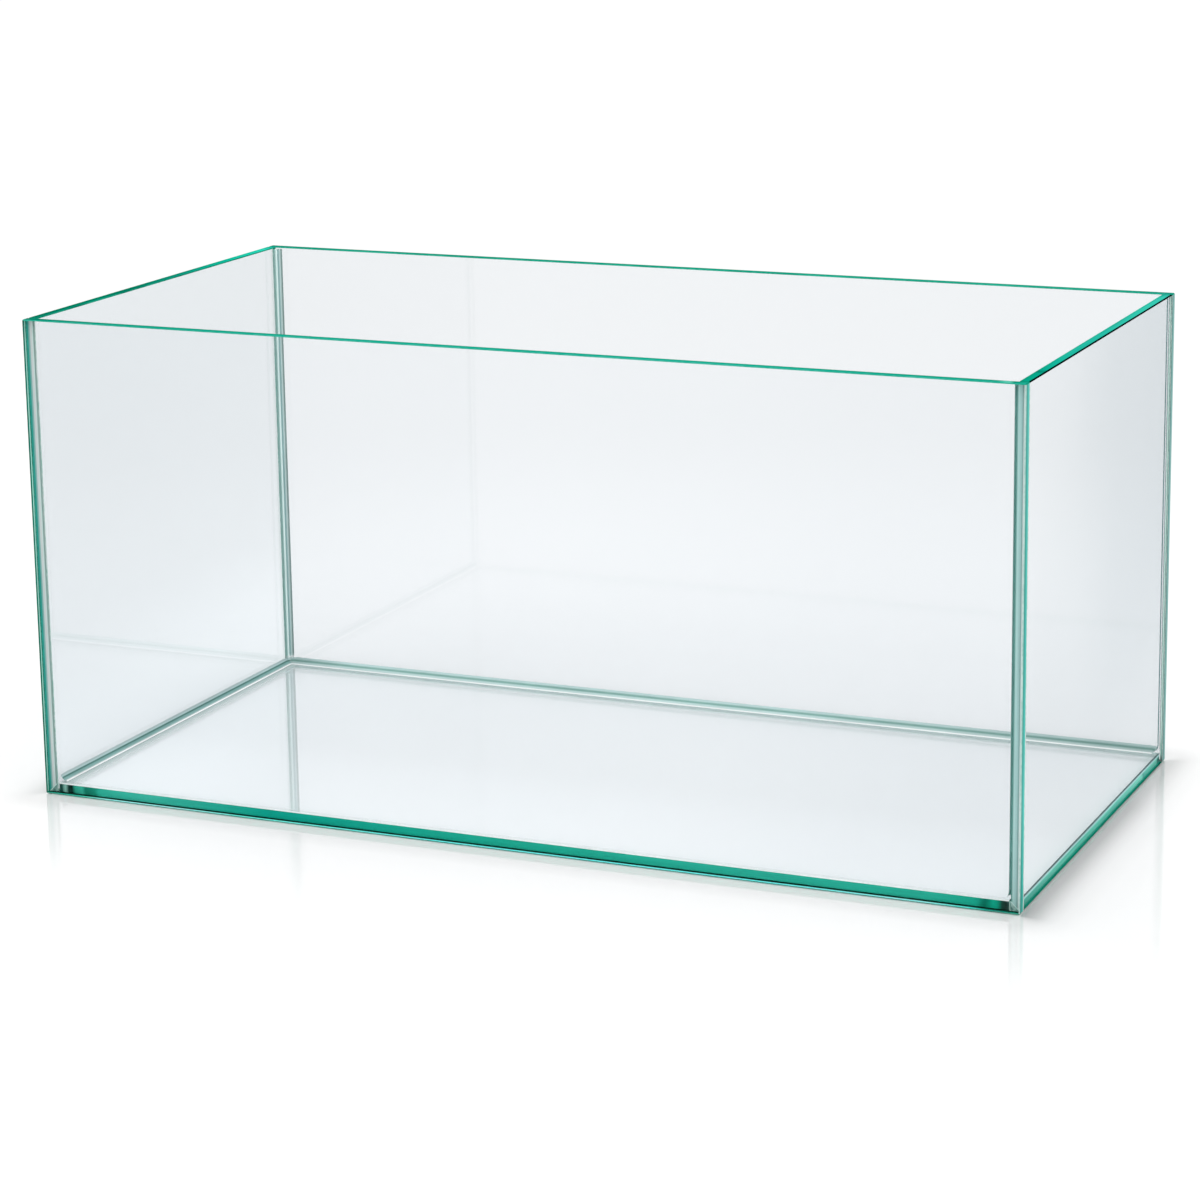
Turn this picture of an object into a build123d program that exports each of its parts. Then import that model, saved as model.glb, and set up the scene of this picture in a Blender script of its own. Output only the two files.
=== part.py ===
from build123d import *
import os

# A rimless all-glass aquarium: five float glass panes, bonded edge to face with silicone.
# The origin is the middle of the footprint on the surface that the tank stands on. +X runs along the
# tank towards its right-hand end, +Y towards its back and +Z up. All sizes are in millimetres.

# Outside size of the tank
tank_length = 600.0
tank_depth = 300.0
tank_height = 285.0

# Glass
wall_thickness = 6.0
base_thickness = 6.0
arris = 0.6  # flat ground at 45 degrees along every edge of a pane

# Silicone
bond_gap = 0.6  # structural layer between two panes
tool_radius = 6.0  # rounded tool that smooths the inside seams
bead_edge = 0.2  # how deep the tool bites past the glass, which gives the bead's rim its angle
bead_stop = 1.2  # the upright beads end this far below the rim

# Space inside the walls, above the base
inner_length = tank_length - 2 * wall_thickness
inner_depth = tank_depth - 2 * wall_thickness
bead_top = tank_height - bead_stop
bond_top = tank_height - arris
seam_height = base_thickness + tool_radius  # where an upright bead takes over from the base beads
seam_reach = 2 * tool_radius  # further from the walls than any base bead goes
bond_depth = bond_gap + arris  # the layer and the ground edges that it fills

ends = {"left": -1, "right": 1}
sides = {"front": -1, "back": 1}


def block(x_range, y_range, z_range):
    """A box between the given limits."""
    spans = [x_range, y_range, z_range]
    centre = [(low + high) / 2 for low, high in spans]
    return Pos(*centre) * Box(*[high - low for low, high in spans])


def pane(x_range, y_range, z_range):
    """A sheet of glass with the arris ground along all of its edges."""
    sheet = block(x_range, y_range, z_range)
    return chamfer(sheet.edges(), arris)


def ordered(a, b):
    return (min(a, b), max(a, b))


def make_panes():
    """Front and back run the full length and cover the ends of the side panes; the base lies inside."""
    half_length = tank_length / 2
    half_depth = tank_depth / 2
    full_height = (0, tank_height)
    panes = {}
    for side, sign in sides.items():
        y_range = ordered(sign * inner_depth / 2, sign * half_depth)
        panes[f"{side}_pane"] = pane((-half_length, half_length), y_range, full_height)

    cut_depth = inner_depth / 2 - bond_gap
    for end, sign in ends.items():
        x_range = ordered(sign * inner_length / 2, sign * half_length)
        panes[f"{end}_pane"] = pane(x_range, (-cut_depth, cut_depth), full_height)

    cut_length = inner_length / 2 - bond_gap
    base_depth = inner_depth / 2 - bond_gap
    panes["base_pane"] = pane(
        (-cut_length, cut_length), (-base_depth, base_depth), (0, base_thickness)
    )
    return panes


def inner_block(low, high):
    """The space inside the walls between two heights."""
    x, y = inner_length / 2, inner_depth / 2
    return block((-x, x), (-y, y), (low, high))


def mitre_foot(length_sign, y_range):
    """The bottom corner of a side pane's cut end, below a slanting line up to the top of the base."""
    outside, inside = length_sign * tank_length / 2, length_sign * inner_length / 2
    low, high = y_range
    corners = [(outside, low, 0), (inside, low, 0), (inside, low, base_thickness)]
    return extrude(make_face(Polyline(*corners, close=True)), high - low, dir=(0, 1, 0))


def make_bonds(panes):
    """Structural silicone, which fills the gap between two panes and the arrises on both sides of it.

    The strips in front of and behind the base run on under the side panes' cut ends, where they meet
    the upright strips in a mitre. The strips at the base's ends lie between them.
    """
    bonds = {}
    ring = inner_block(0, base_thickness) - panes["base_pane"]
    for side, depth_sign in sides.items():
        face = depth_sign * inner_depth / 2
        y_range = ordered(face, face - depth_sign * bond_depth)
        along = block((-tank_length / 2, tank_length / 2), y_range, (0, base_thickness))
        base_bond = ring & along
        for end, length_sign in ends.items():
            x_range = ordered(length_sign * inner_length / 2, length_sign * tank_length / 2)
            filler = block(x_range, y_range, (0, bond_top)) - panes[f"{end}_pane"]
            foot = mitre_foot(length_sign, y_range)
            bonds[f"corner_bond_{side}_{end}"] = filler - foot
            base_bond += filler & foot
        bonds[f"base_bond_{side}"] = base_bond

    between = inner_depth / 2 - bond_depth
    for end, length_sign in ends.items():
        x_range = ordered(0, length_sign * inner_length / 2)
        across = block(x_range, (-between, between), (0, base_thickness))
        bonds[f"base_bond_{end}"] = ring & across
    return bonds


def mitre_sectors(height):
    """Four upright prisms along the walls that meet on 45 degree lines from the inside corners."""
    x, y, r = inner_length / 2, inner_depth / 2, seam_reach
    outlines = {
        "front": [(-x, -y), (x, -y), (x - r, r - y), (r - x, r - y)],
        "back": [(-x, y), (r - x, y - r), (x - r, y - r), (x, y)],
        "left": [(-x, -y), (r - x, r - y), (r - x, y - r), (-x, y)],
        "right": [(x, -y), (x, y), (x - r, y - r), (x - r, r - y)],
    }
    return {
        name: extrude(make_face(Polyline(*points, close=True)), height, dir=(0, 0, 1))
        for name, points in outlines.items()
    }


def smoothing_tool():
    """The inside of the tank as the tool leaves it: rounded along its upright and bottom edges."""
    x = inner_length / 2 + bead_edge
    y = inner_depth / 2 + bead_edge
    low = base_thickness - bead_edge
    shape = block((-x, x), (-y, y), (low, tank_height + tool_radius))
    bottom = shape.faces().sort_by(Axis.Z)[0]
    upright = shape.edges().filter_by(Axis.Z)
    return fillet(upright + bottom.edges(), tool_radius)


def make_beads():
    """The hollow silicone beads that seal the inside corners, cut into one strip for each seam.

    All eight come from one body, so the strips blend into each other at the bottom corners.
    """
    seams = inner_block(base_thickness, bead_top) - smoothing_tool()
    low_part = seams & inner_block(base_thickness, seam_height)
    high_part = seams & inner_block(seam_height, bead_top)
    sectors = mitre_sectors(seam_height)
    beads = {f"base_bead_{name}": low_part & sector for name, sector in sectors.items()}
    for strip in high_part.solids():
        middle = strip.center()
        side = "front" if middle.Y < 0 else "back"
        end = "left" if middle.X < 0 else "right"
        beads[f"corner_bead_{side}_{end}"] = strip
    return beads


def build():
    panes = make_panes()
    return {**panes, **make_bonds(panes), **make_beads()}


os.makedirs("parts", exist_ok=True)
for name, shape in build().items():
    export_step(shape, f"parts/{name}.step")
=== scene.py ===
import math

import bmesh
import bpy
from mathutils import Matrix, Vector


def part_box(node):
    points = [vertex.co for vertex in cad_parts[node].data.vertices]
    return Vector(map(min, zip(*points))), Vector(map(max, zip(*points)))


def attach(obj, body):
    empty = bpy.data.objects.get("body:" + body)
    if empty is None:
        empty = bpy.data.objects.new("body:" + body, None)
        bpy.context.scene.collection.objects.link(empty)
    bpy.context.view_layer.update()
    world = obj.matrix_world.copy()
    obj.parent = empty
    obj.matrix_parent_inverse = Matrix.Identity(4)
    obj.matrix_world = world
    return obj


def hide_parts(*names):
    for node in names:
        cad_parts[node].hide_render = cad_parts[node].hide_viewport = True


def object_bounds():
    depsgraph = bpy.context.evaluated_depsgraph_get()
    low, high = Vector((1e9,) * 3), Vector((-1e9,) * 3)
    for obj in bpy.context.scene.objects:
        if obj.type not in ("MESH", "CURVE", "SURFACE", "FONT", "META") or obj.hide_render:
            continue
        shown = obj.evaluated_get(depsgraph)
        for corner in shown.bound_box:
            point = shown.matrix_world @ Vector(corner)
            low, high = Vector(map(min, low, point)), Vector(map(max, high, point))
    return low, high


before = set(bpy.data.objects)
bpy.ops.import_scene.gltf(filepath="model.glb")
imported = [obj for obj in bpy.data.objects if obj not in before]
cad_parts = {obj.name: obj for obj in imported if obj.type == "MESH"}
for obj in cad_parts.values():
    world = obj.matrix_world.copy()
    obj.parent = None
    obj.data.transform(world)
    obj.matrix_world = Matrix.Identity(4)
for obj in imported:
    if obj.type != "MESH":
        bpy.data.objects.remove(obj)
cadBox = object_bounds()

mm = 0.001
scene = bpy.context.scene
halfLength, halfDepth = [part / mm for part in cadBox[1]][:2]  # of the tank, in millimetres


# Shader maths

class Wire:
    # a value on a surface: an expression on wires adds its Math nodes
    def __init__(self, finish, socket):
        self.finish = finish
        self.socket = socket

    def maths(self, operation, a, b=0.0):
        return self.finish.node("Math", {"operation": operation}, {0: a, 1: b})

    def __add__(self, other):
        return self.maths("ADD", self, other)

    def __sub__(self, other):
        return self.maths("SUBTRACT", self, other)

    def __mul__(self, other):
        return self.maths("MULTIPLY", self, other)

    def __truediv__(self, other):
        return self.maths("DIVIDE", self, other)

    def __radd__(self, other):
        return self.maths("ADD", other, self)

    def __rsub__(self, other):
        return self.maths("SUBTRACT", other, self)

    def __rmul__(self, other):
        return self.maths("MULTIPLY", other, self)

    def __neg__(self):
        return self.maths("MULTIPLY", self, -1.0)

    def __abs__(self):
        return self.maths("ABSOLUTE", self)


class Finish:
    # the node tree of a material or of the world
    def __init__(self, owner):
        owner.use_nodes = True
        self.owner = owner
        self.tree = owner.node_tree
        self.tree.nodes.clear()

    def add(self, kind, settings=None, inputs=None):
        # every node is made here: its settings first, then the values or the links of its sockets
        made = self.tree.nodes.new("ShaderNode" + kind)
        for key, value in (settings or {}).items():
            if key == "stops":
                self.setStops(made.color_ramp, value)
            else:
                setattr(made, key, value)
        for key, value in (inputs or {}).items():
            if isinstance(value, Wire):
                self.tree.links.new(value.socket, made.inputs[key])
            else:
                made.inputs[key].default_value = value
        return made

    def node(self, kind, settings=None, inputs=None, output=0):
        return Wire(self, self.add(kind, settings, inputs).outputs[output])

    def setStops(self, ramp, stops):
        while len(ramp.elements) < len(stops):
            ramp.elements.new(0.5)
        for element, (place, colour) in zip(ramp.elements, stops):
            element.position = place
            element.color = colour

    def place(self):
        # the surface's own x, y and z in millimetres
        split = self.add("SeparateXYZ", None, {0: self.node("TexCoord", output="Object")})
        return [Wire(self, socket) / mm for socket in split.outputs]

    def noise(self, spot, detail=2.0):
        # soft noise, about 0.5, over three values that change over the surface
        point = self.node("CombineXYZ", None, dict(enumerate(spot)))
        inputs = {"Vector": point, "Scale": 1.0, "Detail": detail, "Roughness": 0.5}
        return self.node("TexNoise", None, inputs)

    def speckle(self, spot, size, detail=2.0):
        # noise whose spots have a size in millimetres
        return self.noise([part / size for part in spot], detail)

    def uneven(self, spot, amount):
        # about 1, and up and down by the amount from place to place
        return 1 + (self.noise(spot) - 0.5) * amount

    def step(self, value, low, high):
        # 0 at low, 1 at high, smooth between
        settings = {"interpolation_type": "SMOOTHSTEP"}
        return self.node("MapRange", settings, {"Value": value, "From Min": low, "From Max": high})

    def contrast(self, noise, reach):
        # noise made to run from 0 to 1; a shorter reach makes its spots harder
        return self.step(noise, 0.5 - reach, 0.5 + reach)

    def larger(self, a, b):
        return self.node("Math", {"operation": "MAXIMUM"}, {0: a, 1: b})

    def length(self, x, y):
        flat = self.node("CombineXYZ", None, {0: x, 1: y})
        return self.node("VectorMath", {"operation": "LENGTH"}, {0: flat}, output="Value")

    def ramp(self, value, stops):
        # the colour and the alpha along a value; a stop is a place and its four parts
        first, last = stops[0][0], stops[-1][0]
        marks = [((at - first) / (last - first), parts) for at, parts in stops]
        made = self.add("ValToRGB", {"stops": marks}, {0: (value - first) / (last - first)})
        return [Wire(self, socket) for socket in made.outputs]

    def profile(self, value, stops):
        # a number along a value; a stop is a place and a number
        return self.ramp(value, [(at, (part, part, part, 1)) for at, part in stops])[0]

    def layers(self, value, stops, fall):
        # the colour and the cover along a value; a stop is a place, a colour code and how much it covers
        return self.ramp(value, [(at, (*lit(code, fall), *(cover or [1.0]))) for at, code, *cover in stops])

    def scaled(self, colour, factor):
        return self.node("VectorMath", {"operation": "SCALE"}, {0: colour, "Scale": factor})

    def blend(self, factor, a, b):
        # a colour between a and b, which are the node's sockets 6 and 7
        ends = {6: a if isinstance(a, Wire) else (*a, 1), 7: b if isinstance(b, Wire) else (*b, 1)}
        return self.node("Mix", {"data_type": "RGBA"}, {0: factor, **ends}, output=2)

    def painted(self, colour, roughness, gloss=0.0):
        # what scatters light in its own colour
        return self.node("BsdfPrincipled", None, {
            "Base Color": colour if isinstance(colour, Wire) else (*colour, 1),
            "Roughness": roughness,
            "Specular IOR Level": gloss,
        })

    def mixed(self, factor, first, second):
        # a surface between two others
        return self.node("MixShader", None, {0: factor, 1: first, 2: second})

    def end(self, shader, kind="OutputMaterial"):
        self.add(kind, None, {"Surface": shader})
        return self.owner


def newFinish(name):
    return Finish(bpy.data.materials.new(name))


light = {  # how much falls on a surface, where white paper under 1 looks white
    "upright": 1.08,
    "above": 1.17,  # on a surface that looks up
    "whitest": 0.98,  # how much of it a paint may send back
}


def lit(code, fall=light["upright"]):
    # the paint that looks like a colour code, which follows a screen's curve, in the light that falls on it
    shares = [int(code[at:at + 2], 16) / 255 for at in (0, 2, 4)]
    linear = [part / 12.92 if part < 0.04045 else ((part + 0.055) / 1.055) ** 2.4 for part in shares]
    return tuple(min(part / fall, light["whitest"]) for part in linear)


# Camera: fitted to the seven outer corners that the photograph shows

viewpoint = {
    "lens": 105.4,  # on a sensor 36 mm wide
    "lift": -0.08,
    "place": (0.8063, -1.8463, 0.6245),
    "turn": 23.69,  # degrees
    "tilt": 77.21,
    "roll": -0.85,
    "reach": 100,  # past the floor's far edge
}


def makeCamera():
    data = bpy.data.cameras.new("camera")
    data.lens = viewpoint["lens"]
    data.shift_y = viewpoint["lift"]
    data.clip_end = viewpoint["reach"]
    camera = bpy.data.objects.new("camera", data)
    turn = Matrix.Rotation(math.radians(viewpoint["turn"]), 4, "Z")
    tilt = Matrix.Rotation(math.radians(viewpoint["tilt"]), 4, "X")
    roll = Matrix.Rotation(math.radians(viewpoint["roll"]), 4, "Z")
    camera.matrix_world = Matrix.Translation(viewpoint["place"]) @ turn @ tilt @ roll
    scene.collection.objects.link(camera)
    scene.camera = camera


makeCamera()
print("camera placed")


# Float glass: clear faces

glass = {
    "bend": 1.52,
    "arris": 0.6 * mm,
    "cloud": 0.1,  # how much the tint drifts over a pane
    "cloudSize": (260, 260, 200),  # along x, y and z, in millimetres
    "cloudReach": 0.15,
    "lampShare": 0.95,  # how much of a lamp's light comes through a pane
    # in millimetres, where a pane's painted shade above its foot, its painted light towards its front and its
    # painted light low down begin and end
    "paintedShadeRiseOver": (0, 150),
    "paintedFrontLightOver": (5, 75),
    "paintedLowLightOver": (30, 110),
}

clearFaces = {
    # what a pane lets through where it is clearest and where it is deepest, how deep it is from its left or
    # front end to the other, how much painted shade it takes on above its foot, how much painted light makes
    # it lighter towards the front or low down, and if its faces mirror
    "base_pane": {
        "clear": (0.93, 0.946, 0.955), "deep": (0.882, 0.902, 0.915),
        "depth": [(0, 0.0), (0.32, 0.17), (0.6, 0.31), (0.85, 1.0), (1, 1.0)],
        # painted light: the base is lighter towards its front
        "paintedFrontLight": 0.05, "mirrors": True,
    },
    "front_pane": {
        "clear": (0.99, 0.995, 1.0), "deep": (0.9, 0.915, 0.925),
        "depth": [(0, 0.4), (0.35, 0.0), (0.7, 0.08), (1, 0.42)], "mirrors": False,
    },
    "back_pane": {
        "clear": (0.852, 0.873, 0.89), "deep": (0.83, 0.852, 0.87),
        "depth": [(0, 1.0), (0.14, 0.4), (0.35, 0.0), (0.75, 0.25), (1, 0.6)], "mirrors": True,
    },
    "left_pane": {
        "clear": (0.781, 0.814, 0.834), "deep": (0.771, 0.804, 0.826),
        # painted light: the left pane is lighter low down
        "depth": [(0, 0.0), (1, 0.0)], "paintedLowLight": 0.1, "mirrors": True,
    },
    # painted shade: the right pane grows greyer towards the back and upwards, standing for darker
    # surroundings that it would mirror; its faces don't mirror
    "right_pane": {
        "clear": (1.0, 1.0, 1.0), "deep": (0.765, 0.798, 0.815),
        "depth": [(0, 0.1), (0.65, 0.2), (1, 0.3)],
        "paintedShadeRise": [(0, 0.15), (0.3, 0.25), (0.6, 0.54), (1, 0.58)], "mirrors": False,
    },
}

paintedBeadShade = {  # painted shade and reflection: a grey band on the base's top beside the left and back beads stands for their shadow and mirror image, from a line on, in millimetres
    "tone": "c0cdcc",
    "fall": 1.0,
    "roughness": 0.4,
    "onset": 1,  # how softly it begins
    "above": (2, 4),  # heights that it begins between, so that only the base's top has it
    "left": {"from": -288.7, "width": 2.4, "fade": 3.2, "cover": 0.8},
    "back": {"from": -138.6, "width": 1.4, "fade": 4.6, "cover": 0.62},
}


def paintedBeadShadeCover(f, out, look):
    # out grows away from the seam
    start, end = look["from"], look["from"] + look["width"]
    paintedShadeLayer = f.step(out, start - paintedBeadShade["onset"], start) - f.step(out, end, end + look["fade"])
    return paintedShadeLayer * look["cover"]


# paints the grey shade band over the base's top
def addPaintedBeadShade(f, spot, body):
    x, y, z = spot
    paintedShadeLayer = f.painted(lit(paintedBeadShade["tone"], paintedBeadShade["fall"]), paintedBeadShade["roughness"])
    cover = f.larger(paintedBeadShadeCover(f, x, paintedBeadShade["left"]), paintedBeadShadeCover(f, -y, paintedBeadShade["back"]))
    return f.mixed(cover * f.step(z, *paintedBeadShade["above"]), body, paintedShadeLayer)


def sheerGlass(f, through):
    # bends what is behind it and shows nothing of its own
    tint = (*[math.sqrt(part) for part in through], 1)
    return f.node("BsdfRefraction", None, {"Color": tint, "Roughness": 0.0, "IOR": glass["bend"]})


def mirrorGlass(f, tint):
    return f.node("BsdfPrincipled", None, {
        "Base Color": tint,
        "Roughness": 0.0,
        "IOR": glass["bend"],
        "Specular IOR Level": 0.5,
        "Transmission Weight": 1.0,
    })


def makeClearFinish(node):
    look = clearFaces[node]
    f = newFinish("clear_face_of_" + node)
    low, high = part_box(node)
    _, y, z = spot = f.place()
    run = int(high.y - low.y > high.x - low.x)
    share = (spot[run] - low[run] / mm) / ((high[run] - low[run]) / mm)
    cloud = f.noise([part / size for part, size in zip(spot, glass["cloudSize"])], detail=1.0)
    depth = f.profile(share, look["depth"]) + glass["cloud"] * f.contrast(cloud, glass["cloudReach"])
    # painted shade that rises above the foot
    if "paintedShadeRise" in look:
        depth = depth + f.profile(share, look["paintedShadeRise"]) * f.step(z, *glass["paintedShadeRiseOver"])
    if look["mirrors"]:
        tint = f.blend(depth, look["clear"], look["deep"])
        # painted light towards the front and low down
        if "paintedFrontLight" in look:
            tint = f.scaled(tint, 1 + look["paintedFrontLight"] * f.step(-y, *glass["paintedFrontLightOver"]))
        if "paintedLowLight" in look:
            tint = f.scaled(tint, 1 + look["paintedLowLight"] * (1 - f.step(z, *glass["paintedLowLightOver"])))
        body = mirrorGlass(f, tint)
    else:
        body = f.mixed(depth, sheerGlass(f, look["clear"]), sheerGlass(f, look["deep"]))
    # the base's top gets the painted shade band beside its left and back beads
    if node == "base_pane":
        body = addPaintedBeadShade(f, spot, body)
    # lamps shine through without bending
    throughOnce = [math.sqrt(glass["lampShare"] * part) for part in look["clear"]]
    straight = f.node("BsdfTransparent", None, {"Color": (*throughOnce, 1)})
    lampRay = f.larger(*[f.node("LightPath", output=f"Is {kind} Ray") for kind in ("Shadow", "Diffuse")])
    return f.end(f.mixed(lampRay, body, straight))


# Float glass: cut edges. "tones" run along the edge in millimetres. "bands" lie across it from its low side
# to its high side: a share of its width, a brightness and how much of the "streak" colour there is. "lines"
# says how strong the polishing lines are, "smudge" how far the tones wander in millimetres, and "fall" how
# much light reaches the edge and comes back

plainEdge = {
    "tones": [(0, "12896c"), (40, "1a9f82"), (300, "18a486"), (560, "1fae92"), (600, "15937a")],
    "bands": [(0, 0.85), (0.5, 1.0), (1, 0.9)],
    "lines": 0.25,
    "smudge": 4.0,
}

hiddenEdge = {  # behind the left and back bonds, seen through the base; painted pale instead of the glass's green, as painted light beside the seams
    "tones": [(0, "c4d6d4"), (600, "c4d6d4")],
    "bands": [(0, 1.0), (1, 1.0)],
    "fall": 0.7,
    "lines": 0.15,
    "smudge": 4.0,
}

cutEdges = {
    "front_pane": {
        "rim": {
            "tones": [(0, "04795f"), (20, "0d8f74"), (60, "129c80"), (200, "17a88d"), (450, "17a98d"),
                      (584, "14a286"), (590, "6fd9c0"), (593, "0f8f74"), (600, "1eae94")],
            "bands": [(0, 1.12), (0.45, 1.05), (1, 0.8)],
            "lines": 0.12, "smudge": 3.0,
        },
        # painted light: the foot is painted pale cyan, as if lit up inside the glass, and its low fall
        # brightens it further
        "foot": {
            "tones": [(0, "1c8f78"), (12, "1f9a84"), (25, "3fae98"), (40, "86d4c8"), (90, "8dd6cc"),
                      (130, "5fccbd"), (300, "5ed5cf"), (480, "62d4c8"), (545, "85e0d4"), (572, "44bfb4"),
                      (580, "1b8f80"), (588, "147868"), (600, "0f8a70")],
            "bands": [(0, 1.0), (1, 1.0)],
            "fall": 0.6,
            "lines": 0.15, "smudge": 8.0,
        },
        "right": {
            "tones": [(0, "4fa89c"), (8, "3f9f94"), (60, "56b0a6"), (130, "4aa59b"), (285, "55aaa0")],
            "bands": [(0, 0.42), (0.2, 0.85), (0.6, 1.15), (1, 1.9)],
            "lines": 0.15, "smudge": 6.0,
        },
        "left": {
            "tones": [(0, "1f8f7a"), (30, "16806a"), (90, "12856e"), (180, "1d8a76"), (285, "158070")],
            # the mint band is a painted highlight on the inside of the polished edge
            "bands": [(0, 0.5, 0), (0.58, 0.6, 0), (0.7, 1.1, 1), (0.9, 1.1, 1), (0.98, 0.6, 0), (1, 0.5, 0)],
            "streak": "a8d8cb", "fall": 0.8,
            "lines": 0.3, "smudge": 10.0,
        },
    },
    "back_pane": {
        "rim": {
            "tones": [(0, "0f9078"), (30, "109a7e"), (150, "149a7c"), (400, "18a486"), (560, "2aa88c"),
                      (585, "1a9a80"), (600, "2c9f8c")],
            "bands": [(0, 1.05), (1, 0.85)],
            "lines": 0.12, "smudge": 3.0,
        },
        "right": {
            "tones": [(0, "508682"), (20, "508682"), (120, "508682"), (285, "548682")],
            "bands": [(0, 1.0, 0), (0.2, 1.0, 0), (0.35, 1.0, 1), (1, 1.05, 1)],
            "streak": "8ab4b0",
            "lines": 0.15, "smudge": 6.0,
        },
    },
    "left_pane": {
        "rim": {
            "tones": [(0, "0a7a60"), (20, "017a5e"), (70, "038063"), (110, "01785c"), (170, "0a8f76"),
                      (220, "07b092"), (262, "1ccaac"), (275, "2ed6b8"), (288, "14a68c")],
            "bands": [(0, 0.75), (0.3, 1.25), (0.5, 0.8), (0.75, 1.3), (1, 0.8)],
            "lines": 0.5, "smudge": 12.0,
        },
        "front": {
            "tones": [(0, "1a7a6a"), (120, "1d7a6c"), (285, "22705f")],
            "bands": [(0, 1), (1, 1)],
            "lines": 0.25, "smudge": 6.0,
        },
    },
    "right_pane": {
        "rim": {
            "tones": [(0, "07a184"), (24, "08a488"), (28, "04806a"), (34, "0aa98e"), (80, "1fb79f"),
                      (150, "27b8a2"), (220, "33c4ac"), (275, "38c6b0"), (288, "26a592")],
            "bands": [(0, 0.9), (0.15, 1.0), (0.32, 0.88), (0.4, 1.1), (0.62, 1.0),
                      (0.7, 1.15), (0.81, 1.1), (0.87, 0.3), (0.91, 0.08), (1, 0.05)],
            "lines": 0.3, "smudge": 8.0,
        },
        "foot": {
            "tones": [(0, "1c947c"), (100, "188c74"), (200, "188872"), (288, "107460")],
            "bands": [(0, 1.1), (0.55, 1.0), (0.75, 0.2), (1, 0.05)],
            "lines": 0.3, "smudge": 20.0,
        },
        "front": {
            "tones": [(0, "2c8f80"), (285, "2c8f80")],
            "bands": [(0, 1), (1, 1)],
            "lines": 0.2, "smudge": 6.0,
        },
        "back": {
            "tones": [(0, "8fc4b8"), (20, "c0d6ce"), (285, "c8dad2")],
            "bands": [(0, 1, 0), (0.42, 1, 0), (0.55, 1, 1), (1, 1, 1)],
            "streak": "527e78", "fall": 0.75,
            "lines": 0.2, "smudge": 6.0,
        },
    },
    "base_pane": {
        "left": hiddenEdge,
        "back": hiddenEdge,
        "front": {
            "tones": [(0, "1e3f3a"), (3, "2c5c54"), (5.5, "9fd0c4"), (6.5, "16332e"), (9.5, "0b2621"),
                      (10.5, "2a8f7a"), (16, "38a08c"), (18, "166e5c"), (25, "1c7f6b"), (28, "30a08c"),
                      (60, "3aa592"), (140, "109080"), (300, "229a84"), (450, "2e9f8b"), (540, "2ba18b"),
                      (568, "1f9c85"), (573, "0e6b59"), (578, "17a589"), (581, "128a72"), (582.5, "232f2b"),
                      (586, "2c4a45"), (586.8, "3c5c56")],
            "bands": [(0, 0.85), (0.3, 1.0), (0.75, 1.05), (1, 0.8)],
            "fall": 0.8,
            "lines": 0.16, "smudge": 7.0,
        },
        "right": {
            "tones": [(0, "55a396"), (60, "66b8a8"), (130, "5fb5a4"), (200, "6bc0b2"), (245, "7fcabc"),
                      (250, "4f9f93"), (252, "5fb3a5"), (280, "6fbfae"), (283, "3f7f78"), (286.8, "5f8f88")],
            "bands": [(0, 0.95, 0), (0.62, 1.0, 0), (0.72, 1.05, 1), (0.84, 1.05, 1), (0.93, 0.33, 1),
                      (1, 0.33, 1)],
            "streak": "9ec5c3", "fall": 0.63,
            "lines": 0.35, "smudge": 18.0,
        },
    },
}

polish = {  # the marks of the polishing wheel on a cut edge
    "roughness": 0.22,
    "smudgeLength": 25,  # in millimetres
    "smudgesAcross": 1.5,  # over the edge's width
    "lineLength": 70,
    "linesAcross": 9,
    "lineSeed": 0.3,
    "calmEnd": 40,  # how far from an edge's ends its tones begin to wander
}

# the axis across each side, and the way that the side looks along it
sides = {"left": (0, -1), "right": (0, 1), "front": (1, -1), "back": (1, 1), "foot": (2, -1), "rim": (2, 1)}


def makeEdgeFinish(node, side, look):
    # polished: the green that light gathers on its long way through the sheet
    f = newFinish(f"{side}_edge_of_{node}")
    low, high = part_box(node)
    size = (high - low) / mm
    facing = sides[side][0]
    run, width = sorted([axis for axis in range(3) if axis != facing], key=lambda axis: -size[axis])
    spot = f.place()
    along = spot[run] - low[run] / mm
    across = (spot[width] - low[width] / mm) / size[width]
    smudge = f.noise([along / polish["smudgeLength"], across * polish["smudgesAcross"], 0], detail=3.0)
    wobble = (smudge - 0.5) * look["smudge"]
    half = look["tones"][-1][0] / 2
    calm = f.step(abs(along - half), half, half - polish["calmEnd"])
    fall = look.get("fall", light["above" if side == "rim" else "upright"])
    tone, _ = f.layers(along + wobble * calm, look["tones"], fall)
    bands = [(at, (bright, bright, bright, *(streak or [0.0]))) for at, bright, *streak in look["bands"]]
    band, streak = f.ramp(across, bands)
    if "streak" in look:
        tone = f.blend(streak, tone, lit(look["streak"], fall))
    line = [along / polish["lineLength"], across * polish["linesAcross"], polish["lineSeed"]]
    shade = band * f.uneven(line, 2 * look["lines"])
    return f.end(f.painted(f.scaled(tone, shade), polish["roughness"]))


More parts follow.
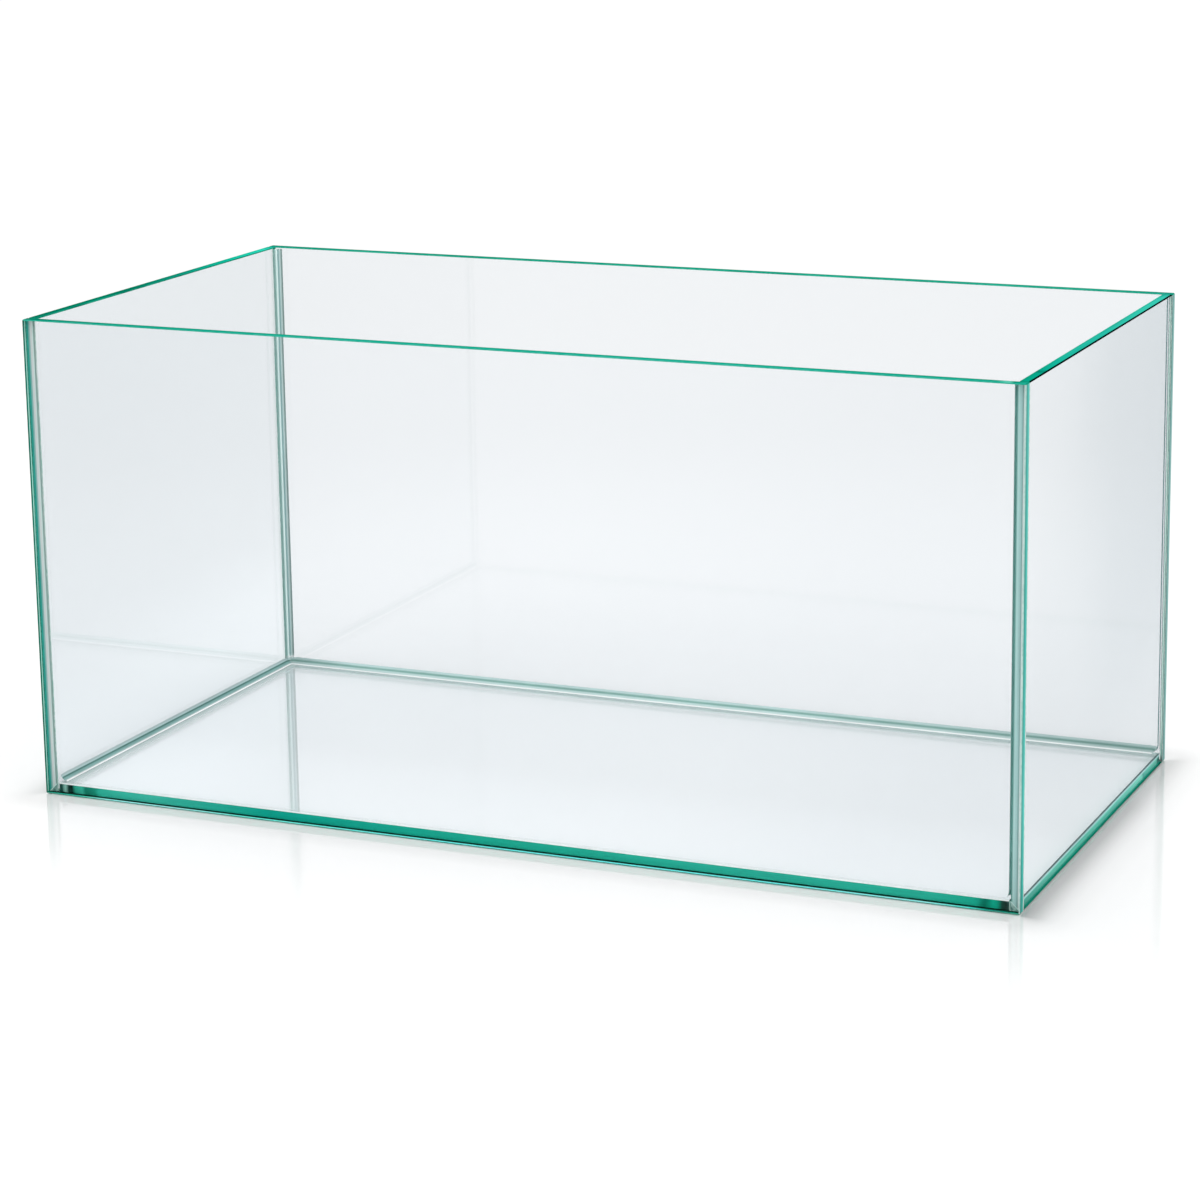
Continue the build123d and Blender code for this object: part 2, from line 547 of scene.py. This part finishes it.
arrises = {  # the ground strip between two faces, where it doesn't look like the plain one
    "front_pane": {
        "front rim": ("23a88f", "48b8a4"), "front foot": ("3fae9c", "8fc4b6"),
        # painted shade: the inner foot arris is darkened as if in the gap under the base
        "back foot": ("0c2a20", "174234"),
        "right front": ("9fc8c0", "c0dcd6"), "right back": ("5fb0a4", "8fc8be"),
        "left front": ("06513f", "0f6f5c"), "left back": ("2a7f6e", "4f9f8c"),
        "right foot": ("0a6a54", "0f7f68"), "left foot": ("0a6a54", "1a8f78"),
    },
    "back_pane": {"front rim": ("12957a", "2fb498"), "right front": ("1f6f64", "3f8f84")},
    "left_pane": {"right rim": ("0a6f58", "1fa085")},
    "right_pane": {
        "right rim": ("010604", "031410"), "right foot": ("000302", "02120d"),
        "left foot": ("0c7a66", "148570"),
    },
    "base_pane": {
        # painted shade on the front foot arris, in the gap under the base; a painted white highlight on the
        # front rim arris
        "front foot": ("08261c", "163f32"), "front rim": ("e6f0ee", "fbffff"),
        "right foot": ("4fa595", "5fb0a2"), "right rim": ("4f6566", "5f7576"),
        # pale left and back rims: the ground glass's own paleness with a painted highlight; pale feet:
        # painted light where the gap under the base would shade them
        "left rim": ("cfdcda", "dbe6e4"), "back rim": ("cfdcda", "dbe6e4"),
        "left foot": ("b4c8c5", "c4d6d4"), "back foot": ("b4c8c5", "c4d6d4"),
    },
}
plainArrises = {"rim": ("0f8f74", "24a98e"), "foot": ("0e6450", "1a8a72"), "upright": ("9fcfc2", "dceae6")}

ground = {  # how the grinding stone leaves an arris
    "roughness": 0.5,
    "chip": 1.6,  # in millimetres
    "patch": 35,
    "reach": 0.12,
}


def makeArrisFinish(name, dark, pale):
    # ground with a fine stone, so it scatters
    f = newFinish("arris_" + name)
    spot = f.place()
    chips, patches = f.speckle(spot, ground["chip"], detail=3.0), f.speckle(spot, ground["patch"])
    tone = f.contrast(chips * 0.5 + patches * 0.5, ground["reach"])
    return f.end(f.painted(f.blend(tone, lit(dark), lit(pale)), ground["roughness"]))


groundFinishes = {place: makeArrisFinish(place, *tones) for place, tones in plainArrises.items()}


# how much of its normal lies along an axis where a face is square to it, and where it looks to it at all
square = 0.985
slanted = 0.55


def liesFlat(normal):
    return max(abs(part) for part in normal) > square


def faceName(normal):
    # the sides that a face looks to: one for a face, two for an arris, three for a corner
    return " ".join(side for side, (axis, sign) in sides.items() if sign * normal[axis] > slanted)


def chooseFinish(node, normal, thin):
    # the finish's name on the pane, and what makes it
    name = faceName(normal)
    if abs(normal[thin]) > square:
        return "clear", lambda: makeClearFinish(node)
    if name in cutEdges[node]:
        return name, lambda: makeEdgeFinish(node, name, cutEdges[node][name])
    if name in arrises[node]:
        return name, lambda: makeArrisFinish(f"{node}_{name.replace(' ', '_')}", *arrises[node][name])
    if liesFlat(normal):
        return "plain", lambda: makeEdgeFinish(node, "foot", plainEdge)
    end = name.split()[-1]
    place = end if end in groundFinishes else "upright"
    return "ground " + place, lambda: groundFinishes[place]


def makePane(node):
    # a sheet with its arris ground on every edge
    low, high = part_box(node)
    size = high - low
    mesh = bpy.data.meshes.new(node + "_glass")
    b = bmesh.new()
    bmesh.ops.create_cube(b, size=1.0)
    bmesh.ops.scale(b, vec=size, verts=b.verts)
    bmesh.ops.translate(b, vec=(low + high) / 2, verts=b.verts)
    bmesh.ops.bevel(b, geom=b.edges[:], offset=glass["arris"], segments=1, affect="EDGES")
    thin = list(size).index(min(size))
    finishes = {}
    for face in b.faces:
        name, make = chooseFinish(node, face.normal, thin)
        if name not in finishes:
            finishes[name] = make()
        face.material_index = list(finishes).index(name)
    b.to_mesh(mesh)
    b.free()
    for finish in finishes.values():
        mesh.materials.append(finish)
    pane = bpy.data.objects.new(node + "_glass", mesh)
    scene.collection.objects.link(pane)
    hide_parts(node)
    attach(pane, "root")


for node in clearFaces:
    makePane(node)
print("panes cut")


# Silicone. A bead's stops run round its hollow, from the wall to the base or, in an upright one, from the
# side pane to the long pane. Their place is the distance from the middle of the tool's round, as a share of
# its radius. A stop is a place, a colour and how much it covers

# the stops paint highlights and the images of the green edges behind, over the silicone's own grey
beadLooks = {
    "base_bead_left": [
        (0.25, "ffffff", 0.0), (0.27, "ffffff", 0.0), (0.30, "a5b7b8", 0.96), (0.43, "a5b7b8", 0.96),
        (0.48, "aec8c7", 0.95), (0.52, "aec8c7", 0.95), (0.60, "4f7771", 0.98), (0.66, "4f7771", 0.98),
        (0.72, "76a09c", 0.98), (0.81, "83a6a3", 0.96), (0.87, "97b3b0", 0.95), (0.91, "ffffff", 0.96),
        (1.0, "ffffff", 0.96),
    ],
    "base_bead_back": [
        (0.25, "ffffff", 0.0), (0.28, "ffffff", 0.0), (0.32, "b6d0ce", 0.95), (0.47, "b6d0ce", 0.95),
        (0.54, "9ebfba", 0.97), (0.60, "7aa39b", 0.97), (0.67, "7aa39b", 0.97), (0.74, "a4c2be", 0.97),
        (0.82, "b8cecc", 0.95), (0.88, "bcd0ce", 0.95), (0.92, "ffffff", 0.95), (1.0, "ffffff", 0.95),
    ],
    "base_bead_front": [
        (0.25, "ffffff", 0.0), (0.9, "ffffff", 0.0), (0.94, "ffffff", 0.5), (1.0, "ffffff", 0.5),
    ],
    "base_bead_right": [
        (0.25, "ffffff", 0.0), (0.86, "ffffff", 0.0), (0.90, "5f7779", 0.97), (1.0, "5f7779", 0.97),
    ],
    "corner_bead_back_left": [
        (0.25, "78928f", 0.96), (0.46, "78928f", 0.96), (0.51, "b9d3cf", 0.6), (0.65, "b9d3cf", 0.6),
        (0.69, "708e8e", 0.96), (0.79, "708e8e", 0.96), (0.82, "98aeac", 0.9), (0.87, "98aeac", 0.9),
        (0.90, "6c7e7c", 0.97), (0.955, "6c7e7c", 0.97), (0.96, "ffffff", 0.0), (1.0, "ffffff", 0.0),
    ],
    "corner_bead_back_right": [
        (0.25, "ffffff", 0.0), (0.47, "ffffff", 0.0), (0.52, "5f797a", 0.96), (0.70, "5f797a", 0.96),
        (0.75, "ffffff", 0.0), (1.0, "ffffff", 0.0),
    ],
    "corner_bead_front_left": [
        (0.25, "ffffff", 0.0), (0.80, "ffffff", 0.05), (1.0, "ffffff", 0.0),
    ],
    "corner_bead_front_right": [
        (0.25, "54807b", 0.98), (0.695, "54807b", 0.98), (0.735, "ffffff", 0.0), (1.0, "ffffff", 0.0),
    ],
}

# An upright bond's stops lie across it, in millimetres from the side pane's inner face to its outer face;
# they paint highlights and the images of the edges behind, over the silicone's own grey
bondLooks = {
    "corner_bond_front_left": [
        (0, "6c7d7a", 0.97), (0.9, "6c7d7a", 0.97), (1.1, "98aaa7", 0.95), (1.5, "a4b6b3", 0.95),
        (1.65, "bcc8c6", 0.75), (3.1, "bcc8c6", 0.75), (3.35, "6e9693", 0.95), (4.1, "6e9693", 0.95),
        (4.35, "2d8279", 0.97), (6, "2d8279", 0.97),
    ],
    "corner_bond_front_right": [
        (0, "59847e", 0.98), (0.5, "59847e", 0.98), (0.9, "a0bcb9", 0.97), (1.8, "9ab6b4", 0.97),
        (2.9, "93b0af", 0.97), (3.1, "7e9a98", 0.97), (3.65, "7e9a98", 0.97), (3.85, "dce6e4", 0.9),
        (4.35, "dce6e4", 0.9), (4.7, "62b3a8", 0.95), (6, "62b3a8", 0.95),
    ],
    "corner_bond_back_left": [
        (0, "a9c2c0", 0.25), (6, "b9d2ce", 0.25),
    ],
    "corner_bond_back_right": [
        (0, "c8d7d0", 0.9), (2.6, "c8d7d0", 0.9), (3.4, "6b938e", 0.97), (6, "6b938e", 0.97),
    ],
}

falls = {  # the light that reaches a strip and comes back through the panes in front of it
    "base_bead_left": 0.9, "base_bead_back": 0.86, "base_bead_front": 0.8, "base_bead_right": 0.63,
    "corner_bead_back_left": 0.68, "corner_bead_back_right": 0.68,
    "corner_bead_front_left": 0.6, "corner_bead_front_right": 0.65,
    "corner_bond_front_left": 0.53, "corner_bond_front_right": 0.65,
    "corner_bond_back_left": 0.68, "corner_bond_back_right": 0.68,
}

silicone = {
    "clearance": 0.04 * mm,  # off the glass on each side
    "roughness": 0.3,
    "drift": {"bead": 0.36, "bond": 0.28, "seal": 0.4},  # how much its tone wanders along a strip
    "bondStreak": (0.7, 60),  # across and along, in millimetres
    "haze": ("b4ccc6", 0.02),  # where it lies flat on the glass, and how much that covers
    "hazeSpot": 4,
    "frost": ("4f6f6a", "93a9a5"),  # the mitred feet of the bonds
    "frostFall": 0.6,
    "frostGrit": 1.1,
    "frostPatch": 3,
    "frostReach": 0.1,
    "mitre": "b4c8c4",  # the pale line where a foot meets the upright bond
    "mitreEnds": (0.5, 0.9),  # and how far below the slope
    "outside": ("c8dad5", "eff5f3"),  # where a bond comes out between two arrises
    "rim": ("0f8f74", "24a98e"),  # and where it ends at the rim
    "seal": ("2c9480", 0.6),  # low on the right, where the gap under the base would let the floor show
    "sealTop": (1.1, 1.6),
    "sealStreak": (14, 3),
}

bead = {
    "radius": 6.0,  # the tool's, in millimetres
    "bite": 0.2,
    "streakLength": 45,
    "streaksAcross": 2.5,
    "streakSeed": 0.7,
    "turnsUp": {  # the upright beads that a base bead turns into, and where its own look takes over
        "base_bead_left": {"back_left": 0.5},
        "base_bead_right": {"front_right": 0.95, "back_right": 0.95},
        "base_bead_front": {"front_left": 0.5, "front_right": 0.95},
        "base_bead_back": {"back_left": 0.5},
    },
    "turn": (0.0, 0.3),  # how far out the turn begins, in millimetres
    "takeover": 0.5,  # how softly one look follows the other
    # painted shade: how bright its wall side is from the tank's left to its right, darker towards the
    # corners, and where round the hollow that ends
    "paintedShadeEnds": {"base_bead_back": [(-288, 0.7), (-255, 1.0), (60, 1.0), (288, 0.72)]},
    "wallSide": (0.84, 0.92),
    "seenFrom": (4.5, 5.5),  # the right bead shows only where it lies on its pane, this far out
}

# the inner faces of the walls and of the base, in millimetres, and the middle of the tool's round in a seam
wallX = -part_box("left_pane")[1].x / mm
wallY = -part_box("front_pane")[1].y / mm
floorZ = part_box("base_pane")[1].z / mm
inset = bead["radius"] - bead["bite"]
middleX, middleY, middleZ = wallX - inset, wallY - inset, floorZ + inset
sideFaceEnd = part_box("left_pane")[1].y - glass["arris"]


def siliconeBody(f, colour, cover):
    # a layer that covers only a share of what is behind it
    clear = f.node("BsdfTransparent", None, {"Color": (1, 1, 1, 1)})
    return f.end(f.mixed(cover, clear, f.painted(colour, silicone["roughness"])))


def makeClearSilicone():
    # where a strip lies flat on the glass it can't be seen
    f = newFinish("clear_silicone")
    code, cover = silicone["haze"]
    return siliconeBody(f, lit(code), cover * f.speckle(f.place(), silicone["hazeSpot"]))


def makeBeadFinish(node):
    # the tool leaves the strip round; its lines are painted: painted highlights and painted images of the
    # edges behind it, over the silicone's own grey
    f = newFinish("smoothed_" + node)
    x, y, z = f.place()
    outX, outY = abs(x) - middleX, abs(y) - middleY
    if "corner" in node:
        down = outY / bead["radius"]
        colour, cover = f.layers(down, beadLooks[node], falls[node])
        streak = [z / bead["streakLength"], down * bead["streaksAcross"], bead["streakSeed"]]
        bright = f.uneven(streak, silicone["drift"]["bead"])
        return siliconeBody(f, f.scaled(colour, bright), cover)
    down = (middleZ - z) / bead["radius"]
    colour, cover = f.layers(down, beadLooks[node], falls[node])
    if node == "base_bead_right":
        cover = cover * f.step(outX, *bead["seenFrom"])
    streak = [x / bead["streakLength"], y / bead["streakLength"], down * bead["streaksAcross"]]
    bright = f.uneven(streak, silicone["drift"]["bead"])
    # painted shade on the wall side, darker towards the corners
    if node in bead["paintedShadeEnds"]:
        endShade = f.profile(x, bead["paintedShadeEnds"][node])
        bright = bright * (endShade + (1 - endShade) * f.step(down, *bead["wallSide"]))
    colour = f.scaled(colour, bright)
    # at its ends it turns up into the upright beads
    turn = outY / f.length(outX, outY)
    ends = f.step(outX, *bead["turn"]) * f.step(outY, *bead["turn"])
    for corner, low in bead["turnsUp"][node].items():
        side, end = corner.split("_")
        isHere = f.step(x * sides[end][1], -1, 1) * f.step(y * sides[side][1], -1, 1)
        isHere = isHere * ends * (1 - f.step(down, low - bead["takeover"], low))
        upright = "corner_bead_" + corner
        upper, upperCover = f.layers(turn, beadLooks[upright], falls[upright])
        colour = f.blend(isHere, colour, upper)
        cover = cover + (upperCover - cover) * isHere
    return siliconeBody(f, colour, cover)


def makeBondFinish(node):
    f = newFinish("pressed_" + node)
    x, y, z = f.place()
    colour, cover = f.layers(abs(x) - wallX, bondLooks[node], falls[node])
    width, length = silicone["bondStreak"]
    bright = f.uneven([x / width, y, z / length], silicone["drift"]["bond"])
    return siliconeBody(f, f.scaled(colour, bright), cover)


def makeFrostFinish(name, dark, pale, cover, fall=light["upright"], mitre=None):
    # where the glass edge behind is only ground
    f = newFinish(name)
    x, _, z = spot = f.place()
    grit = f.speckle(spot, silicone["frostGrit"], detail=3.0)
    tone = f.contrast(0.5 * grit + 0.5 * f.speckle(spot, silicone["frostPatch"]), silicone["frostReach"])
    colour = f.blend(tone, lit(dark, fall), lit(pale, fall))
    if mitre:  # only the feet at the strip's ends show, and a pale line runs down their slope
        under = halfLength - abs(x) - z
        colour = f.blend(1 - f.step(under, *silicone["mitreEnds"]), colour, lit(mitre, fall))
        cover = cover * f.step(abs(x), wallX - 0.1, wallX + 0.1)
    return siliconeBody(f, colour, cover)


def makeSealFinish():
    f = newFinish("seal_under_the_right_edge")
    x, y, z = f.place()
    length, height = silicone["sealStreak"]
    bright = f.uneven([x, y / length, z / height], silicone["drift"]["seal"])
    return siliconeBody(f, f.scaled(lit(*silicone["seal"]), bright), 1 - f.step(z, *silicone["sealTop"]))


def makeStrip(node, finishes, slotOf):
    # the strip as it was cut, drawn in from the glass by a hair
    low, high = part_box(node)
    middle = (low + high) / 2
    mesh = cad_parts[node].data.copy()
    mesh.name = node + "_silicone"
    mesh.materials.clear()
    for finish in finishes:
        mesh.materials.append(finish)
    for face in mesh.polygons:
        face.material_index = slotOf(face.normal, face.center)
    shrink = [1 - 2 * silicone["clearance"] / side for side in (high - low)]
    for vertex in mesh.vertices:
        vertex.co = middle + Vector([k * d for k, d in zip(shrink, vertex.co - middle)])
    strip = bpy.data.objects.new(node + "_silicone", mesh)
    scene.collection.objects.link(strip)
    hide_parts(node)
    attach(strip, "root")


# These choose a finish by its place in the list that makeStrip gets; 1 is always the clear one

def baseBeadSlot(normal, centre):
    # clear at the mitres and where it lies on the glass, apart from the side that the right pane shows
    upright = abs(normal.z) < 0.05
    mitre = upright and normal.x * normal.y * centre.x * centre.y < 0
    return 0 if normal.x > square or not (liesFlat(normal) or mitre) else 1


def cornerBeadSlot(normal, centre):
    if normal.z > square:
        return 2
    return 0 if normal.x > square and centre.y > 0 or not liesFlat(normal) else 1


def cornerBondSlot(normal, centre):
    if normal.z > square:
        return 2
    if abs(normal.y) > square and normal.y * centre.y > 0:
        return 0
    outside = abs(normal.x) > square and normal.x * centre.x > 0
    return 3 if outside and abs(centre.y) > sideFaceEnd else 1


def baseBondSlot(normal, centre):
    if abs(normal.y) > square or abs(normal.x) > square and abs(centre.x) > wallX * mm:
        return 0
    return 2 if normal.x > square else 1


clearSilicone = makeClearSilicone()
rimFinish = makeFrostFinish("silicone_at_the_rim", *silicone["rim"], 1.0)
outsideFinish = makeFrostFinish("silicone_at_the_corner", *silicone["outside"], 0.9)
footLook = [*silicone["frost"], 0.95, silicone["frostFall"], silicone["mitre"]]
footFinish = makeFrostFinish("mitred_foot", *footLook)
sealFinish = makeSealFinish()
for corner in ["front_left", "front_right", "back_left", "back_right"]:
    node = "corner_bond_" + corner
    makeStrip(node, [makeBondFinish(node), clearSilicone, rimFinish, outsideFinish], cornerBondSlot)
    node = "corner_bead_" + corner
    makeStrip(node, [makeBeadFinish(node), clearSilicone, outsideFinish], cornerBeadSlot)
for side in ["front", "back", "left", "right"]:
    makeStrip("base_bond_" + side, [footFinish, clearSilicone, sealFinish], baseBondSlot)
    node = "base_bead_" + side
    makeStrip(node, [makeBeadFinish(node), clearSilicone], baseBeadSlot)
print("seams filled")


# Studio

studio = {
    "grain": 0.01,
    "grainSize": 25,  # in millimetres
    "near": (0.92, 0.92, 0.92),  # the floor round the tank, paler: a painted pool of light
    "far": (0.86, 0.86, 0.86),
    "spread": (450, 1100),  # where the painted pool of light fades to the far floor, in millimetres
    "floorGloss": 0.5,
    "mirrorFades": (30, 170),  # how far from the tank the floor stops mirroring it, in millimetres
    "matteShare": 1.035,  # how much paler the paper is where it doesn't mirror
    "polish": 0.08,
    "dome": 1.17,
    "floorDrop": 0.3 * mm,
    "floorReach": 18.0,
    # the soft shade round the foot, by the distance from it in millimetres
    "frontShade": [(0, 0.13), (8, 0.14), (15, 0.14), (22, 0.09), (30, 0.03), (45, 0.01), (60, 0.0)],
    "sideShade": [(0, 0.6), (6, 0.57), (9, 0.46), (12, 0.34), (16, 0.21), (22, 0.1), (34, 0.025), (50, 0.0)],
    "sideOver": (0.1, 1.0),  # round a corner the front's shade turns into the side's
    "leftShare": 0.4,  # how much of the side shade there is on the left
    "leftOver": (-100, 100),
    "backShare": 0.62,  # and at the back
    "backOver": (30, 150),
    "footEdge": 0.2,
    # painted light: how much brighter the floor is under the front and the left of the tank, and how far out
    # that begins and ends
    "paintedFloorLightFront": 0.06,
    "paintedFloorLightFrontOver": (50, 145),
    "paintedFloorLightLeft": 0.035,
    "paintedFloorLightLeftOver": (150, 280),
}

rays = {  # enough bounces for light that crosses many panes
    "max_bounces": 40,
    "transmission_bounces": 40,
    "glossy_bounces": 16,
    "transparent_max_bounces": 40,
}


def makeFloor():
    f = newFinish("studio_floor")
    x, y, _ = spot = f.place()
    grain = studio["grain"] * f.speckle(spot, studio["grainSize"], detail=3.0)
    # painted light: paler near the tank, greyer far away
    colour = f.blend(f.step(f.length(x, y), *studio["spread"]), studio["near"], studio["far"])
    reachX, reachY = f.larger(abs(x) - halfLength, 0.0), f.larger(abs(y) - halfDepth, 0.0)
    clear = f.length(reachX, reachY)  # how far a place is from the tank's foot
    under = 1 - f.step(clear, 0, studio["footEdge"])
    front, beside = [f.profile(clear, studio[kind]) for kind in ("frontShade", "sideShade")]
    beside = beside * (studio["leftShare"] + (1 - studio["leftShare"]) * f.step(x, *studio["leftOver"]))
    beside = beside * (1 - (1 - studio["backShare"]) * f.step(y, *studio["backOver"]))
    aside = f.step(reachX / (reachX + reachY + 0.5), *studio["sideOver"])  # the 0.5 keeps it from 0 / 0
    shade = (front + (beside - front) * aside) * (1 - under)
    # painted light under the front and the left of the tank
    paintedFloorLightFront = studio["paintedFloorLightFront"] * f.step(-y, *studio["paintedFloorLightFrontOver"])
    glow = paintedFloorLightFront + studio["paintedFloorLightLeft"] * f.step(-x, *studio["paintedFloorLightLeftOver"])
    bright = (1 - studio["grain"] + grain) * (1 - shade) * (1 + glow * under)
    polished = f.painted(f.scaled(colour, bright), studio["polish"], studio["floorGloss"])
    matte = f.painted(f.scaled(colour, bright * studio["matteShare"]), studio["polish"])
    finish = f.end(f.mixed(f.step(clear, *studio["mirrorFades"]), polished, matte))
    reach, drop = studio["floorReach"], -studio["floorDrop"]
    mesh = bpy.data.meshes.new("studio_floor")
    spots = [(-reach, -reach, drop), (reach, -reach, drop), (reach, reach, drop), (-reach, reach, drop)]
    mesh.from_pydata(spots, [], [(0, 1, 2, 3)])
    mesh.materials.append(finish)
    floor = bpy.data.objects.new("studio_floor", mesh)
    scene.collection.objects.link(floor)


def makeDome():
    world = bpy.data.worlds.new("studio_dome")
    scene.world = world
    f = Finish(world)
    glow = f.node("Background", None, {"Color": (1, 1, 1, 1), "Strength": studio["dome"]})
    f.end(glow, "OutputWorld")


def setRays():
    for limit, bounces in rays.items():
        setattr(scene.cycles, limit, bounces)


makeFloor()
makeDome()
setRays()
scene.view_settings.view_transform = "Standard"
scene.view_settings.look = "None"
print("studio lit")
